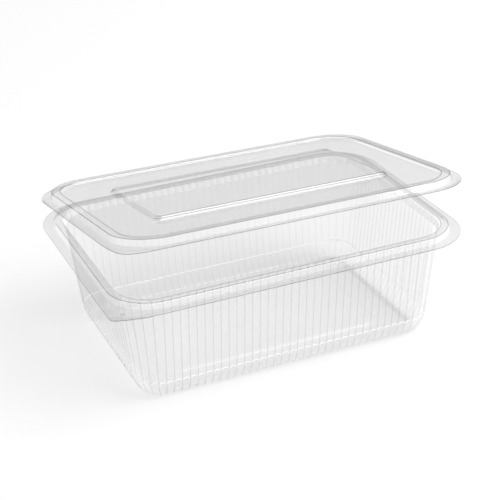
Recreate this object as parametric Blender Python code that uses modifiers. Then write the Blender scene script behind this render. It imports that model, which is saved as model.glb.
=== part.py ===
"""Hinged takeaway meal container in clear thermoformed plastic, standing with its lid ajar.

One thin ribbed tub, one lid with a raised stacking panel, and the flexible strip that joins
their rear edges.  Units are metres, Z is up, the tub stands on Z = 0 and its front faces -Y.
"""
import math

import bmesh
import bpy
from mathutils import Matrix, Vector

COLLECTION = "takeaway_meal_container"

MM = 0.001

# overall outline shared by the two flanges
HALF_LENGTH = 113.0 * MM
HALF_WIDTH = 80.5 * MM
CORNER_RADIUS = 31.0 * MM
SHEET = 0.45 * MM            # modelled thickness of the formed sheet
STRIP_SHEET = 0.35 * MM

FLANGE_Z = 67.0 * MM         # middle of the tub's flange

# flutes pressed into the tub's walls: whole flutes on each side and round each corner
FLUTES_LONG = 33
FLUTES_SHORT = 20
FLUTES_CORNER = 5
FLUTE_DEPTH = 0.8 * MM

# how square the two finger corners are (2 is a plain round corner)
TUB_TAB_POWER = 10.0
LID_TAB_POWER = 5.0

# tub section, flange edge to floor: inset, height, share of the flute depth (all in mm)
TUB_SECTION = (
    (0.0, 67.0, 0.0),
    (6.0, 67.0, 0.0),
    (7.0, 70.2, 0.0),
    (7.7, 70.7, 0.0),
    (10.3, 70.7, 0.0),
    (11.1, 70.2, 0.0),
    (12.2, 66.0, 0.0),
    (13.0, 64.6, 0.0),
    (13.3, 62.0, 1.0),
    (19.2, 8.0, 1.0),
    (21.6, 2.6, 1.0),
    (33.0, 0.225, 0.0),
    (38.0, 0.225, 0.0),
    (39.2, 1.425, 0.0),
)

# lid section in the lid's own frame, flange edge to the foot of the raised panel (mm)
LID_SECTION = (
    (0.0, 0.0),
    (5.2, 0.0),
    (6.0, 3.4),
    (6.7, 4.0),
    (11.0, 4.0),
    (11.7, 3.5),
    (12.4, 2.2),
)
PANEL_FOOT = (74.6 * MM, 38.6 * MM, 5.0 * MM, 2.2 * MM)     # half sizes, radius, height
PANEL_TOP = (72.8 * MM, 36.8 * MM, 3.6 * MM, 4.6 * MM)

# where the lid stands: its rear edge above and behind the tub's, tipped up and a little askew
LID_EDGE_BACK = 4.9 * MM
LID_EDGE_UP = 9.7 * MM
LID_OPEN = math.radians(8.7)
LID_TWIST = math.radians(2.83)
TWIST_AXIS = Vector((0.0, 0.6285, 0.7778)).normalized()

# flexible strip between the rear edges
STRIP_HALF = 75.0 * MM
STRIP_CLEAR = 0.55 * MM
STRIP_STEPS = 12
FOLD_GAP = 0.4 * MM

# the row's origin is under the middle of everything, the askew lid included
MIDDLE = (2.707 * MM, 4.223 * MM)


def clear_scene():
    for obj in list(bpy.data.objects):
        bpy.data.objects.remove(obj, do_unlink=True)
    for block in (bpy.data.meshes, bpy.data.materials):
        for item in list(block):
            block.remove(item)


def plastic(name, colour, roughness):
    mat = bpy.data.materials.new(name)
    mat.use_nodes = True
    shader = mat.node_tree.nodes["Principled BSDF"]
    shader.inputs["Base Color"].default_value = (*colour, 1.0)
    shader.inputs["Roughness"].default_value = roughness
    shader.inputs["Metallic"].default_value = 0.0
    shader.inputs["IOR"].default_value = 1.57
    shader.inputs["Alpha"].default_value = 0.35
    return mat


def power_point(angle, power):
    """Point on the quarter of a unit superellipse; power 2 is a circle."""
    c, s = math.cos(angle), math.sin(angle)
    return (max(c, 0.0) ** (2.0 / power), max(s, 0.0) ** (2.0 / power))


def outline(half_x, half_y, radius, counts, tab_power=2.0):
    """Rounded rectangle, counter-clockwise from the right side's lower end.

    counts holds the steps on a long side, a short side and a corner.  The corner at -X, -Y
    is the finger corner and may be squarer than the rest.  Returns points and outward normals.
    """
    long_n, short_n, corner_n = counts
    points, normals = [], []
    centre_x, centre_y = half_x - radius, half_y - radius
    corners = ((1, 1, 2.0), (-1, 1, 2.0), (-1, -1, tab_power), (1, -1, 2.0))
    for index, (sx, sy, power) in enumerate(corners):
        sides = short_n if index % 2 == 0 else long_n
        start = Vector((sx * centre_x, sy * centre_y))
        for step in range(sides):
            share = step / sides
            if index == 0:
                points.append((half_x, -centre_y + 2 * centre_y * share))
                normals.append((1.0, 0.0))
            elif index == 1:
                points.append((centre_x - 2 * centre_x * share, half_y))
                normals.append((0.0, 1.0))
            elif index == 2:
                points.append((-half_x, centre_y - 2 * centre_y * share))
                normals.append((-1.0, 0.0))
            else:
                points.append((-centre_x + 2 * centre_x * share, -half_y))
                normals.append((0.0, -1.0))
        for step in range(corner_n):
            turn = 0.5 * math.pi * step / corner_n
            if index % 2 == 1:
                u, v = power_point(0.5 * math.pi - turn, power)
            else:
                u, v = power_point(turn, power)
            points.append((start.x + sx * radius * u, start.y + sy * radius * v))
            plain = 0.5 * math.pi * index + turn
            normals.append((math.cos(plain), math.sin(plain)))
    return points, normals


def corner_radius(inset, least=9.0 * MM):
    return max(CORNER_RADIUS - 0.85 * inset, least)


def fluted_ring(bm, inset, height, share, counts, tab_power=2.0):
    """One ring of the tub: every second point is pushed inwards by the flute depth."""
    points, normals = outline(HALF_LENGTH - inset, HALF_WIDTH - inset,
                              corner_radius(inset), counts, tab_power)
    ring = []
    for index, (point, normal) in enumerate(zip(points, normals)):
        push = FLUTE_DEPTH * share if index % 2 else 0.0
        lift = 0.35 * push if height < 5.0 * MM else 0.0
        ring.append(bm.verts.new((point[0] - normal[0] * push,
                                  point[1] - normal[1] * push, height + lift)))
    return ring


def skin(bm, lower, upper):
    count = len(lower)
    for index in range(count):
        after = (index + 1) % count
        bm.faces.new((lower[index], lower[after], upper[after], upper[index]))


def merge_flat(bm, limit=math.radians(0.4)):
    """Join faces that lie in one plane, so that straight runs carry no spare points."""
    bmesh.ops.dissolve_limit(bm, angle_limit=limit, use_dissolve_boundaries=False,
                             verts=bm.verts[:], edges=bm.edges[:])


def finish_sheet(name, bm, thickness, material, collection, root, matrix=None):
    bmesh.ops.recalc_face_normals(bm, faces=bm.faces[:])
    mesh = bpy.data.meshes.new(name)
    bm.to_mesh(mesh)
    bm.free()
    obj = bpy.data.objects.new(name, mesh)
    collection.objects.link(obj)
    obj.parent = root
    if matrix is not None:
        obj.matrix_local = matrix
    mesh.materials.append(material)
    for face in mesh.polygons:
        face.use_smooth = True
    solid = obj.modifiers.new("sheet", "SOLIDIFY")
    solid.thickness = thickness
    solid.offset = 0.0
    solid.use_even_offset = True
    solid.use_quality_normals = True
    solid.use_rim = True
    return obj


def build_tub(material, collection, root):
    counts = (2 * FLUTES_LONG, 2 * FLUTES_SHORT, 2 * FLUTES_CORNER)
    bm = bmesh.new()
    rings = []
    for index, (inset, height, share) in enumerate(TUB_SECTION):
        power = TUB_TAB_POWER if index == 0 else 2.0
        rings.append(fluted_ring(bm, inset * MM, height * MM, share, counts, power))
    for lower, upper in zip(rings, rings[1:]):
        skin(bm, lower, upper)
    bm.faces.new(rings[-1])
    merge_flat(bm)
    return finish_sheet("tub", bm, SHEET, material, collection, root)


def lid_ring(bm, half_x, half_y, radius, height, counts, tab_power=2.0):
    points, _ = outline(half_x, half_y, radius, counts, tab_power)
    # the lid's frame has its origin at the middle of the rear edge
    return [bm.verts.new((x, y - HALF_WIDTH, height)) for x, y in points]


def build_lid(matrix, material, collection, root):
    counts = (6, 4, 10)
    bm = bmesh.new()
    rings = []
    for index, (inset, height) in enumerate(LID_SECTION):
        inset, height = inset * MM, height * MM
        power = LID_TAB_POWER if index == 0 else 2.0
        rings.append(lid_ring(bm, HALF_LENGTH - inset, HALF_WIDTH - inset,
                              corner_radius(inset), height, counts, power))
    for half_x, half_y, radius, height in (PANEL_FOOT, PANEL_TOP):
        rings.append(lid_ring(bm, half_x, half_y, radius, height, counts))
    for lower, upper in zip(rings, rings[1:]):
        skin(bm, lower, upper)
    bm.faces.new(rings[-1])
    merge_flat(bm)
    return finish_sheet("lid", bm, SHEET, material, collection, root, matrix)


def build_strip(name, first, second, lower_line, upper_line, material, collection, root):
    """Ruled band between two lines, from share first to share second of the way up."""
    bm = bmesh.new()
    rows = []
    for share in (first, second):
        row = []
        for step in range(STRIP_STEPS + 1):
            x = -STRIP_HALF + 2 * STRIP_HALF * step / STRIP_STEPS
            row.append(bm.verts.new(lower_line(x).lerp(upper_line(x), share)))
        rows.append(row)
    for step in range(STRIP_STEPS):
        bm.faces.new((rows[0][step], rows[0][step + 1], rows[1][step + 1], rows[1][step]))
    return finish_sheet(name, bm, STRIP_SHEET, material, collection, root)


def lid_matrix():
    place = Matrix.Translation((0.0, HALF_WIDTH + LID_EDGE_BACK, FLANGE_Z + LID_EDGE_UP))
    twist = Matrix.Rotation(LID_TWIST, 4, TWIST_AXIS)
    tip = Matrix.Rotation(-LID_OPEN, 4, "X")
    return place @ twist @ tip


def main():
    clear_scene()
    collection = bpy.data.collections.new(COLLECTION)
    bpy.context.scene.collection.children.link(collection)

    tub_plastic = plastic("tub_clear_plastic", (0.90, 0.91, 0.92), 0.06)
    lid_plastic = plastic("lid_clear_plastic", (0.90, 0.91, 0.92), 0.06)
    fold_plastic = plastic("strip_lower_clear_plastic", (0.88, 0.89, 0.90), 0.12)
    edge_plastic = plastic("strip_upper_clear_plastic", (0.88, 0.89, 0.90), 0.12)

    root = bpy.data.objects.new("container_origin", None)
    root.location = (-MIDDLE[0], -MIDDLE[1], 0.0)
    collection.objects.link(root)

    build_tub(tub_plastic, collection, root)
    matrix = lid_matrix()
    build_lid(matrix, lid_plastic, collection, root)

    def lower_line(x):
        return Vector((x, HALF_WIDTH + STRIP_CLEAR, FLANGE_Z))

    def upper_line(x):
        return matrix @ Vector((x, STRIP_CLEAR, 0.0))

    half_gap = 0.5 * FOLD_GAP / (upper_line(0.0) - lower_line(0.0)).length
    build_strip("strip_lower", 0.0, 0.5 - half_gap, lower_line, upper_line,
                fold_plastic, collection, root)
    build_strip("strip_upper", 0.5 + half_gap, 1.0, lower_line, upper_line,
                edge_plastic, collection, root)


main()
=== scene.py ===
"""Looks for the hinged clear plastic takeaway container: ribbed tub, lid, folding strip."""

import math

import bmesh
import bpy
from mathutils import Matrix, Vector


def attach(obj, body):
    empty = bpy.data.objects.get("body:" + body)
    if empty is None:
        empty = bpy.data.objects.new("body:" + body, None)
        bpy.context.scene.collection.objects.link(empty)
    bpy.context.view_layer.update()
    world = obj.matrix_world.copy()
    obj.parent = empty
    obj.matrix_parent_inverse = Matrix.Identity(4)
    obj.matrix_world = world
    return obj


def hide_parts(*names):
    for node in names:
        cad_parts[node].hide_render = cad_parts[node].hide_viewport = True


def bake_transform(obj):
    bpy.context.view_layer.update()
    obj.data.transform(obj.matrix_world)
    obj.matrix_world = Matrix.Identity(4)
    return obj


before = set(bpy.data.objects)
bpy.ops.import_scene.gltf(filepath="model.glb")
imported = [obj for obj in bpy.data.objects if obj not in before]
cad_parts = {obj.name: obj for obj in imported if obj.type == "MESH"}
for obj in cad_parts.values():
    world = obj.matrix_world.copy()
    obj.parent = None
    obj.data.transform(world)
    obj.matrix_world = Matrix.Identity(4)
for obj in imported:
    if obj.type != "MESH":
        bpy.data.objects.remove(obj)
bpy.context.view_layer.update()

MM = 0.001

# ---------------------------------------------------------------- the part's own sizes
# lengths are in millimetres; MIDDLE, the middle of the part's footprint, is in metres
MIDDLE = Vector((2.707 * MM, 4.223 * MM, 0.0))
HALF_LENGTH = 113.0
HALF_WIDTH = 80.5
CORNER_RADIUS = 31.0
FLANGE_Z = 67.0
LID_EDGE_BACK = 4.9
LID_EDGE_UP = 9.7
LID_OPEN = math.radians(8.7)
LID_TWIST = math.radians(2.83)
TWIST_AXIS = Vector((0.0, 0.6285, 0.7778)).normalized()
STRIP_HALF = 75.0
SHEET = 0.34
STRIP_SHEET = 0.30
STRIP_GAP = 0.4

FLUTES_LONG, FLUTES_SHORT, FLUTES_CORNER = 33, 20, 5
FLUTE_SPOTS = (0.0, 0.055, 0.24, 0.5, 0.76, 0.945)
FLUTE_DEPTH = 0.55
LONGEST_STEP = 9.0              # longest step down a section of the tub

# looks of the faces between two rings of a section; the line, faint, cut and rib looks paint
# dark lines of shade along bends, cut edges and flute grooves, the shade and back looks paint
# shade, the wall look is a lightened copy that paints light, and the bright look paints a
# highlight
PLAIN, CUT, LINE, FAINT, PAINTED_HIGHLIGHT, SHADE, RIB, WALL, BACK, FLANGE, FLOOR = range(11)


# ---------------------------------------------------------------- outlines and sections
def outline(half_x, half_y, radius, counts, tab=None, spots=(0.0,)):
    """Rounded rectangle as (x, y, normal x, normal y), counter-clockwise from +X, -Y.

    tab replaces the finger corner at -X, -Y by a function of the turn from 0 to 1;
    spots are the places of the points inside one step of the outline.
    """
    long_n, short_n, corner_n = counts
    cx, cy = half_x - radius, half_y - radius
    rows = []
    for index, (sx, sy) in enumerate(((1, 1), (-1, 1), (-1, -1), (1, -1))):
        side = short_n if index % 2 == 0 else long_n
        for step in (k + spot for k in range(side) for spot in spots):
            t = 2.0 * step / side - 1.0
            rows.append(((half_x, cy * t, 1, 0), (-cx * t, half_y, 0, 1),
                         (-half_x, -cy * t, -1, 0), (cx * t, -half_y, 0, -1))[index])
        for step in (k + spot for k in range(corner_n) for spot in spots):
            turn = step / corner_n
            plain = 0.5 * math.pi * (index + turn)
            nx, ny = math.cos(plain), math.sin(plain)
            if tab is not None and index == 2:
                x, y = tab(turn)
            else:
                x, y = sx * cx + radius * nx, sy * cy + radius * ny
            rows.append((x, y, nx, ny))
    return rows


def finger_corner(knots):
    """Finger corner of a flange: straight edges through a few knots."""
    def point(turn):
        place = turn * (len(knots) - 1)
        i = min(int(place), len(knots) - 2)
        t = place - i
        return tuple(a + (b - a) * t for a, b in zip(knots[i], knots[i + 1]))
    return point


TUB_FINGER_CORNER = ((-113.0, -49.5), (-113.0, -62.0), (-113.0, -73.2), (-111.4, -76.2),
                     (-107.8, -77.4), (-101.0, -79.2), (-94.0, -80.5), (-82.0, -80.5))
LID_FINGER_CORNER = ((-113.0, -49.5), (-112.9, -60.0), (-111.2, -71.5), (-109.4, -75.6),
                     (-105.6, -78.8), (-98.5, -80.4), (-90.0, -80.5), (-82.0, -80.5))


CORNER_TIGHTENS = 0.85          # loss of corner radius for each millimetre of inset
LEAST_CORNER = 9.0


def corner_radius(inset):
    return max(CORNER_RADIUS - CORNER_TIGHTENS * inset, LEAST_CORNER)


FILLET_SHARE = 0.45             # most of a span that one fillet may use


def filleted(points, steps=3):
    """Round the bends of a section.

    Points are (inset, height, share, fillet, look of the bend, look of the span that
    arrives there); each point comes back with the look of the faces that end at it.
    """
    out = []
    last = len(points) - 1
    for i, (w, z, share, fillet, look, span) in enumerate(points):
        if i in (0, last) or fillet <= 0.0:
            out.append((w, z, share, span))
            continue
        here = Vector((w, z, share))
        before = Vector(points[i - 1][:3])
        after = Vector(points[i + 1][:3])
        d0, d1 = before - here, after - here
        reach = min(fillet, FILLET_SHARE * d0.length, FILLET_SHARE * d1.length)
        a, b = here + d0.normalized() * reach, here + d1.normalized() * reach
        for k in range(steps + 1):
            t = k / steps
            spot = (1 - t) ** 2 * a + 2 * t * (1 - t) * here + t * t * b
            out.append((*spot, look if k else span))
    return out


def spread(points, longest):
    """Split long spans of a section so that no step is longer than longest."""
    out = [points[0]]
    for a, b in zip(points, points[1:]):
        span = math.hypot(b[0] - a[0], b[1] - a[1])
        n = max(1, math.ceil(span / longest))
        for k in range(1, n + 1):
            out.append((*(x + (y - x) * k / n for x, y in zip(a[:3], b[:3])), b[3]))
    return out


def skin_rings(bm, rings, looks, look_of=None, cap=PLAIN):
    """Faces between the rings, and one that closes the last; look_of may change a look."""
    for lower, upper, look in zip(rings, rings[1:], looks[1:]):
        n = len(lower)
        for i in range(n):
            j = (i + 1) % n
            face = bm.faces.new((lower[i], lower[j], upper[j], upper[i]))
            face.material_index = look if look_of is None else look_of(i, look)
    bm.faces.new(rings[-1]).material_index = cap


def piece_from(name, bm, matrix, materials, thickness, rim_slot=None):
    """Object of a skin, thickened to both sides; the cut edge's look is rim_slot further
    down the materials than the look of the faces beside it.
    """
    bmesh.ops.recalc_face_normals(bm, faces=bm.faces[:])
    mesh = bpy.data.meshes.new(name)
    bm.to_mesh(mesh)
    bm.free()
    for mat in materials:
        mesh.materials.append(mat)
    for poly in mesh.polygons:
        poly.use_smooth = True
    obj = bpy.data.objects.new(name, mesh)
    bpy.context.scene.collection.objects.link(obj)
    if thickness:
        solid = obj.modifiers.new("sheet", "SOLIDIFY")
        solid.thickness = thickness * MM
        solid.offset = 0.0
        solid.use_even_offset = True
        solid.use_quality_normals = True
        if rim_slot is not None:
            solid.material_offset_rim = rim_slot
    obj.data.transform(matrix)
    return obj


# ---------------------------------------------------------------- materials
GRAZE_POWER = 2.6               # how late the sheet turns grey towards a grazing view
MIRROR_POWER = 5.0
SKIN_ROUGHNESS = 0.06
RIPPLE_SCALE, RIPPLE_STRENGTH, RIPPLE_HEIGHT = 60.0, 0.08, 0.0006


def clear_plastic(name, tint=1.0, edge_tint=0.72, haze=0.04, mirror_face=0.02,
                  mirror_edge=0.50):
    """Thin clear sheet: see-through, greyer at grazing angles, with a glossy skin.

    tint and edge_tint are what passes face on and at a grazing view, haze is the share of
    milky white, and the mirror values are the share of reflection face on and added at
    the edge.
    """
    mat = bpy.data.materials.new(name)
    mat.use_nodes = True
    tree = mat.node_tree
    tree.nodes.clear()
    new, link = tree.nodes.new, tree.links.new

    weight = new("ShaderNodeLayerWeight")
    weight.inputs["Blend"].default_value = 0.5
    graze = new("ShaderNodeMath")
    graze.operation = "POWER"
    graze.inputs[1].default_value = GRAZE_POWER
    link(weight.outputs["Facing"], graze.inputs[0])

    through = new("ShaderNodeMix")
    through.data_type = "RGBA"
    through.inputs["A"].default_value = (tint, tint, tint, 1.0)
    through.inputs["B"].default_value = (edge_tint, edge_tint, edge_tint, 1.0)
    link(graze.outputs[0], through.inputs["Factor"])
    clear = new("ShaderNodeBsdfTransparent")
    link(through.outputs["Result"], clear.inputs["Color"])

    milk = new("ShaderNodeBsdfDiffuse")
    milk.inputs["Color"].default_value = (1.0, 1.0, 1.0, 1.0)
    hazy = new("ShaderNodeMixShader")
    hazy.inputs[0].default_value = haze
    link(clear.outputs[0], hazy.inputs[1])
    link(milk.outputs[0], hazy.inputs[2])

    fifth = new("ShaderNodeMath")
    fifth.operation = "POWER"
    fifth.inputs[1].default_value = MIRROR_POWER
    link(weight.outputs["Facing"], fifth.inputs[0])
    mirror = new("ShaderNodeMath")
    mirror.operation = "MULTIPLY_ADD"
    mirror.inputs[1].default_value = mirror_edge
    mirror.inputs[2].default_value = mirror_face
    link(fifth.outputs[0], mirror.inputs[0])

    ripple = new("ShaderNodeTexNoise")
    ripple.inputs["Scale"].default_value = RIPPLE_SCALE
    ripple.inputs["Detail"].default_value = 2.0
    coords = new("ShaderNodeTexCoord")
    link(coords.outputs["Object"], ripple.inputs["Vector"])
    bump = new("ShaderNodeBump")
    bump.inputs["Strength"].default_value = RIPPLE_STRENGTH
    bump.inputs["Distance"].default_value = RIPPLE_HEIGHT
    link(ripple.outputs["Fac"], bump.inputs["Height"])

    skin = new("ShaderNodeBsdfGlossy")
    skin.inputs["Color"].default_value = (1.0, 1.0, 1.0, 1.0)
    skin.inputs["Roughness"].default_value = SKIN_ROUGHNESS
    link(bump.outputs["Normal"], skin.inputs["Normal"])

    surface = new("ShaderNodeMixShader")
    link(mirror.outputs[0], surface.inputs[0])
    link(hazy.outputs[0], surface.inputs[1])
    link(skin.outputs[0], surface.inputs[2])
    out = new("ShaderNodeOutputMaterial")
    link(surface.outputs[0], out.inputs["Surface"])
    return mat


sheet_plastic = clear_plastic("clear_sheet", edge_tint=0.57)
# painted light: a lighter, hazier copy of the sheet for the front and left walls, risers and
# foot
lightened_wall_plastic = clear_plastic("wall_painted_lighter", edge_tint=0.97, haze=0.055, mirror_edge=0.30)
# painted shade: a darker copy of the wall for the right and rear walls
back_shade_plastic = clear_plastic("back_wall_painted_shade", tint=0.945, edge_tint=0.86, haze=0.03)
lid_plastic = clear_plastic("clear_lid_sheet", edge_tint=0.74)
# painted shade: the sheet's cut edge is drawn as a dark line
cut_edge_shade = clear_plastic("cut_sheet_edge_painted_shade", tint=0.32, edge_tint=0.30, haze=0.0,
                         mirror_face=0.0, mirror_edge=0.05)
# painted shade: tight bends are drawn as dark lines
line_shade_plastic = clear_plastic("tight_bend_painted_shade", tint=0.62, edge_tint=0.58, haze=0.0,
                             mirror_face=0.0, mirror_edge=0.05)
# painted shade: soft bends are drawn as faint grey lines
faint_shade_plastic = clear_plastic("soft_bend_painted_shade", tint=0.95, edge_tint=0.80)
# painted shade: the soft dark band on the lid panel's end slopes and corners
end_shade_plastic = clear_plastic("panel_end_painted_shade", tint=0.86, edge_tint=0.78, haze=0.01)
# painted highlight: strong milky haze makes the scalloped flute tops and the pinch near the
# foot white
scallop_highlight_plastic = clear_plastic("scalloped_end_painted_highlight", edge_tint=0.98, haze=0.60)
# painted highlight: the white band on the lid panel's riser
slope_highlight_plastic = clear_plastic("slope_painted_highlight", edge_tint=0.97, haze=0.09, mirror_face=0.01)
shade_plastic = clear_plastic("shaded_slope", tint=0.89, edge_tint=0.82)
# painted shade: dark lines in the grooves between flutes
rib_shade_plastic = clear_plastic("rib_groove_painted_shade", tint=0.92, edge_tint=0.80, mirror_edge=0.20)
strip_plastic = clear_plastic("clear_strip", edge_tint=0.95, haze=0.02)
# painted light: a copy of the sheet for the tub's floor, lighter than the flange's at a slant
lighter_floor_plastic = clear_plastic("tub_floor_painted_lighter", tint=0.974, edge_tint=0.90)
TUB_LOOKS = (sheet_plastic, cut_edge_shade, line_shade_plastic, faint_shade_plastic, scallop_highlight_plastic,
             shade_plastic, rib_shade_plastic, lightened_wall_plastic, back_shade_plastic, sheet_plastic,
             lighter_floor_plastic)
LID_LOOKS = (lid_plastic, cut_edge_shade, line_shade_plastic, faint_shade_plastic, slope_highlight_plastic, end_shade_plastic)

# ---------------------------------------------------------------- tub
# rows are inset, height, share of the flutes, fillet, look of the bend, look of the span
TUB_SECTION = (
    (0.0, 67.0, 0.0, 0.0, PLAIN, PLAIN),
    (0.5, 67.0, 0.0, 0.0, PLAIN, PLAIN),
    (5.9, 67.0, 0.0, 0.2, FAINT, FLANGE),
    (6.9, 70.7, 0.0, 0.2, LINE, WALL),
    (11.0, 70.7, 0.0, 0.2, LINE, FLANGE),
    (11.8, 68.6, 0.0, 0.3, WALL, WALL),
    # the bright look here paints highlights on the scalloped tops of the flutes and on the
    # pinch above the foot
    (13.0, 64.6, 1.0, 0.4, WALL, PAINTED_HIGHLIGHT),
    (18.9, 10.8, 1.0, 0.4, PAINTED_HIGHLIGHT, WALL),
    (19.2, 9.6, 0.2, 0.3, WALL, WALL),
    (20.9, 5.4, 1.3, 0.8, WALL, WALL),
    (22.6, 1.8, 0.6, 2.0, WALL, WALL),
    (27.0, 0.45, 0.6, 1.5, WALL, WALL),
    (34.0, 0.21, 0.0, 1.0, FLOOR, FLOOR),
    (43.0, 0.21, 0.0, 0.6, FLOOR, FLOOR),
    (44.2, 1.42, 0.0, 0.6, FLOOR, FLOOR),
    (47.0, 1.42, 0.0, 0.0, FLOOR, FLOOR),
)
# the ends of the flutes arch upwards: from this inset on, between two heights, by so much
SCALLOPS_FROM = 11.2
SCALLOPS = ((64.2, 68.9, 1.4), (6.8, 11.2, 1.0))
# on the rear the walls take the painted-shade copy and each bend line is painted one step
# fainter
REAR_LOOKS = {WALL: BACK, LINE: FAINT, FAINT: WALL}


FLUTE_FULLNESS = 0.85
# flute grooves above this share get the painted dark groove line
RIBBED_FROM = 0.4               # share of the flutes above which their grooves are drawn
UNDERSIDE_TOP, FOOT_TOP, FOOT_LIFT = 1.6, 5.0, 0.4


def flute(u):
    return abs(math.sin(math.pi * u)) ** FLUTE_FULLNESS


def tub_look(i, look, ribbed):
    """Grooves between flutes get a painted dark line; the right and rear walls take the
    painted-shade copy, and the rear's bend lines are painted fainter.
    """
    k = len(FLUTE_SPOTS)
    right = FLUTES_SHORT * k
    rear = right + (FLUTES_LONG + 2 * FLUTES_CORNER) * k
    if ribbed and i % k in (0, k - 1):
        return RIB
    if i < right:
        return BACK if look == WALL else look
    return REAR_LOOKS.get(look, look) if i < rear else look


def build_tub():
    k = len(FLUTE_SPOTS)
    bm = bmesh.new()
    rings, looks = [], []
    for w, z, share, look in spread(filleted(TUB_SECTION), LONGEST_STEP):
        tab = finger_corner(TUB_FINGER_CORNER) if w == 0.0 else None
        arch = sum(high for low, top, high in SCALLOPS if low < z < top and w > SCALLOPS_FROM)
        ring = []
        rows = outline(HALF_LENGTH - w, HALF_WIDTH - w, corner_radius(w),
                       (FLUTES_LONG, FLUTES_SHORT, FLUTES_CORNER), tab, FLUTE_SPOTS)
        for i, (x, y, nx, ny) in enumerate(rows):
            bulge = flute(FLUTE_SPOTS[i % k])
            push = FLUTE_DEPTH * share * bulge
            if z < UNDERSIDE_TOP:
                lift = push
            elif z < FOOT_TOP:
                lift = FOOT_LIFT * push
            else:
                lift = arch * bulge
            ring.append(bm.verts.new(((x - nx * push) * MM, (y - ny * push) * MM,
                                      (z + lift) * MM)))
        rings.append(ring)
        looks.append((look, share > RIBBED_FROM or look == PAINTED_HIGHLIGHT))
    skin_rings(bm, rings, looks, lambda i, look: tub_look(i, *look), FLOOR)
    return piece_from("tub_shell", bm, Matrix.Translation(-MIDDLE), TUB_LOOKS, SHEET, CUT)


BUTTON_SPOT = (-104.3, -70.3)
BUTTON_PROFILE = ((1.15, 0.0), (1.0, 0.25), (0.75, 0.5), (0.4, 0.65), (0.1, 0.7))
BUTTON_SIDES = 20
BUTTON_SHEET = 0.12
BUTTON_BELOW_FLANGE = 0.25


def build_button():
    """Small round dimple under the finger corner of the tub's flange."""
    bm = bmesh.new()
    rings = []
    for radius, down in BUTTON_PROFILE:
        ring = []
        for step in range(BUTTON_SIDES):
            turn = 2.0 * math.pi * step / BUTTON_SIDES
            ring.append(bm.verts.new(((BUTTON_SPOT[0] + radius * math.cos(turn)) * MM,
                                      (BUTTON_SPOT[1] + radius * math.sin(turn)) * MM,
                                      (FLANGE_Z - BUTTON_BELOW_FLANGE - down) * MM)))
        rings.append(ring)
    skin_rings(bm, rings, [0] * len(rings))
    return piece_from("tub_button", bm, Matrix.Translation(-MIDDLE), (shade_plastic,),
                      BUTTON_SHEET)


# ---------------------------------------------------------------- lid
LID_SECTION = (
    (0.0, 0.0, 0.0, 0.0, PLAIN, PLAIN),
    (5.1, 0.0, 0.0, 0.3, FAINT, PLAIN),
    (6.2, 4.0, 0.0, 0.25, LINE, PLAIN),
    (10.9, 4.0, 0.0, 0.25, LINE, PLAIN),
    (12.2, 2.2, 0.0, 0.4, FAINT, PLAIN),
    (14.0, 2.2, 0.0, 0.0, PLAIN, PLAIN),
)
# rings of the raised panel: half length, half width, corner radius, height, look
PANEL = (
    (77.4, 40.3, 4.0, 2.2, PLAIN),
    (75.8, 38.7, 3.2, 2.2, PLAIN),
    (75.6, 38.5, 3.1, 2.3, FAINT),
    # the bright look paints the riser's white highlight band; the line looks paint its dark
    # edge lines
    (74.7, 38.0, 2.8, 3.25, PAINTED_HIGHLIGHT),
    (74.4, 37.9, 2.8, 3.50, LINE),
    (73.6, 37.5, 2.7, 4.35, PLAIN),
    (73.2, 37.2, 2.6, 4.6, LINE),
    (72.6, 36.6, 2.4, 4.6, PLAIN),
    (71.0, 34.8, 2.0, 4.6, PLAIN),
)


def lid_matrix():
    place = Matrix.Translation(Vector((0.0, (HALF_WIDTH + LID_EDGE_BACK) * MM,
                                       (FLANGE_Z + LID_EDGE_UP) * MM)) - MIDDLE)
    return (place @ Matrix.Rotation(LID_TWIST, 4, TWIST_AXIS)
            @ Matrix.Rotation(-LID_OPEN, 4, "X"))


LID_COUNTS = (40, 28, 24)


def panel_look(i, look):
    """The slopes at the panel's ends and corners get painted shade, the long ones keep the
    painted highlight.
    """
    long_n, short_n, corner_n = LID_COUNTS
    half = short_n + long_n + 2 * corner_n
    at_end = i % half < short_n
    at_corner = not short_n + corner_n <= i % half < half - corner_n
    if (look == LINE and at_end) or (look in (PLAIN, PAINTED_HIGHLIGHT) and at_corner):
        return SHADE
    return look


def build_lid():
    bm = bmesh.new()
    rings, looks = [], []

    def add_ring(half_x, half_y, radius, z, look, tab=None):
        rows = outline(half_x, half_y, radius, LID_COUNTS, tab)
        rings.append([bm.verts.new((x * MM, (y - HALF_WIDTH) * MM, z * MM))
                      for x, y, _, _ in rows])
        looks.append(look)

    for w, z, _, look in filleted(LID_SECTION):
        add_ring(HALF_LENGTH - w, HALF_WIDTH - w, corner_radius(w), z, look,
                 finger_corner(LID_FINGER_CORNER) if w == 0.0 else None)
    edge_rings = len(rings)
    for row in PANEL:
        add_ring(*row)
    slope = range(edge_rings + 2, edge_rings + len(PANEL) - 2)
    looks = [(look, n in slope) for n, look in enumerate(looks)]
    skin_rings(bm, rings, looks,
               lambda i, look: panel_look(i, look[0]) if look[1] else look[0])
    return piece_from("lid_shell", bm, lid_matrix(), LID_LOOKS, SHEET, CUT)


# ---------------------------------------------------------------- folding strip
STRIP_STEPS_ALONG, STRIP_STEPS_UP = 150, 6


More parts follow.
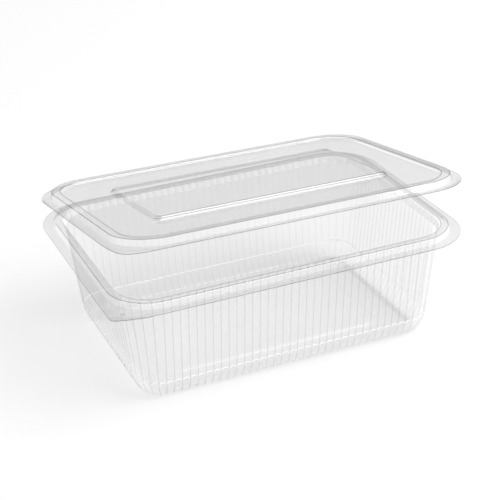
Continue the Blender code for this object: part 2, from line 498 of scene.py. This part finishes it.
def build_strip(name, first, second):
    """Part of the strip, from share first to share second of the way up to the lid."""
    matrix = lid_matrix()
    bm = bmesh.new()
    rows = []
    for k in range(STRIP_STEPS_UP + 1):
        share = first + (second - first) * k / STRIP_STEPS_UP
        row = []
        for i in range(STRIP_STEPS_ALONG + 1):
            x = (-STRIP_HALF + 2 * STRIP_HALF * i / STRIP_STEPS_ALONG) * MM
            low = Vector((x, (HALF_WIDTH + STRIP_GAP) * MM, FLANGE_Z * MM)) - MIDDLE
            high = matrix @ Vector((x, STRIP_GAP * MM, 0.0))
            row.append(bm.verts.new(low.lerp(high, share)))
        rows.append(row)
    for a, b in zip(rows, rows[1:]):
        for i in range(STRIP_STEPS_ALONG):
            bm.faces.new((a[i], a[i + 1], b[i + 1], b[i]))
    # thickened here, not by a modifier, so that a folded strip only gets flatter
    middle = sum((v.co for v in bm.verts), Vector()) / len(bm.verts)
    bmesh.ops.solidify(bm, geom=bm.faces[:], thickness=STRIP_SHEET * MM)
    moved = sum((v.co for v in bm.verts), Vector()) / len(bm.verts)
    bmesh.ops.translate(bm, vec=middle - moved, verts=bm.verts[:])
    return piece_from(name, bm, Matrix.Identity(4), (strip_plastic,), 0.0)


tub = build_tub()
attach(tub, "tub")
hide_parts("tub")

button = build_button()
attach(button, "tub")

lid = build_lid()
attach(lid, "lid")
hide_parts("lid")

strip_low = build_strip("strip_lower_fold", 0.0, 0.5)
strip_high = build_strip("strip_upper_fold", 0.5, 1.0)
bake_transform(strip_low)
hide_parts("strip_lower")
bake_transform(strip_high)
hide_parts("strip_upper")

# ---------------------------------------------------------------- floor, lights, world
scene = bpy.context.scene
scene.view_settings.view_transform = "Standard"
scene.cycles.transparent_max_bounces = 96


# the stage is in metres and watts
FLOOR_HALF_SIZE = 3.0
FLOOR_GAP = 0.0001
FLOOR_WHITE = 0.82
SKY_LEVEL = 0.78                # light from the world; the camera itself sees plain white
KEY_PLACE, KEY_TARGET = (2.2, -1.3, 3.0), (0.0, 0.0, 0.03)
KEY_SIZE, KEY_POWER = (3.2, 3.2), 120.0


def build_floor():
    bm = bmesh.new()
    bmesh.ops.create_grid(bm, x_segments=8, y_segments=8, size=FLOOR_HALF_SIZE)
    mesh = bpy.data.meshes.new("floor")
    bm.to_mesh(mesh)
    bm.free()
    obj = bpy.data.objects.new("floor", mesh)
    scene.collection.objects.link(obj)
    obj.location = (0.0, 0.0, -FLOOR_GAP)
    mat = bpy.data.materials.new("white_floor")
    mat.use_nodes = True
    tree = mat.node_tree
    tree.nodes.clear()
    base = tree.nodes.new("ShaderNodeBsdfDiffuse")
    base.inputs["Color"].default_value = (FLOOR_WHITE, FLOOR_WHITE, FLOOR_WHITE, 1.0)
    out = tree.nodes.new("ShaderNodeOutputMaterial")
    tree.links.new(base.outputs[0], out.inputs["Surface"])
    mesh.materials.append(mat)


def build_world():
    world = bpy.data.worlds.new("studio")
    scene.world = world
    world.use_nodes = True
    tree = world.node_tree
    tree.nodes.clear()
    new, link = tree.nodes.new, tree.links.new
    path = new("ShaderNodeLightPath")
    back = new("ShaderNodeBackground")
    back.inputs["Color"].default_value = (1.0, 1.0, 1.0, 1.0)
    strength = new("ShaderNodeMix")
    strength.data_type = "FLOAT"
    strength.inputs["A"].default_value = SKY_LEVEL
    strength.inputs["B"].default_value = 1.0
    link(path.outputs["Is Camera Ray"], strength.inputs["Factor"])
    link(strength.outputs["Result"], back.inputs["Strength"])
    out = new("ShaderNodeOutputWorld")
    link(back.outputs[0], out.inputs["Surface"])


def area_light(name, place, target, size, power):
    data = bpy.data.lights.new(name, "AREA")
    data.shape = "RECTANGLE"
    data.size, data.size_y = size
    data.energy = power
    obj = bpy.data.objects.new(name, data)
    scene.collection.objects.link(obj)
    obj.location = place
    obj.rotation_euler = (Vector(target) - Vector(place)).to_track_quat("-Z", "Y").to_euler()


build_floor()
build_world()
area_light("key", KEY_PLACE, KEY_TARGET, KEY_SIZE, KEY_POWER)

# ---------------------------------------------------------------- camera
CAMERA_AZ, CAMERA_EL, CAMERA_ROLL = map(math.radians, (-22.485, 26.470, -2.228))
CAMERA_DISTANCE = 0.85376
AIM = Vector((0.00033, 0.0, 0.04998)) - MIDDLE
LENS, SENSOR_WIDTH = 100.776, 36.0
NEAREST = 0.01


def build_camera():
    data = bpy.data.cameras.new("camera")
    data.lens = LENS
    data.sensor_width = SENSOR_WIDTH
    data.clip_start = NEAREST
    obj = bpy.data.objects.new("camera", data)
    scene.collection.objects.link(obj)
    back = Vector((math.sin(CAMERA_AZ) * math.cos(CAMERA_EL),
                   -math.cos(CAMERA_AZ) * math.cos(CAMERA_EL), math.sin(CAMERA_EL)))
    right = Vector((math.cos(CAMERA_AZ), math.sin(CAMERA_AZ), 0.0))
    up = back.cross(right)
    rolled_right = right * math.cos(CAMERA_ROLL) + up * math.sin(CAMERA_ROLL)
    rolled_up = -right * math.sin(CAMERA_ROLL) + up * math.cos(CAMERA_ROLL)
    turn = Matrix((rolled_right, rolled_up, back)).transposed().to_4x4()
    obj.matrix_world = Matrix.Translation(AIM + back * CAMERA_DISTANCE) @ turn
    scene.camera = obj


build_camera()
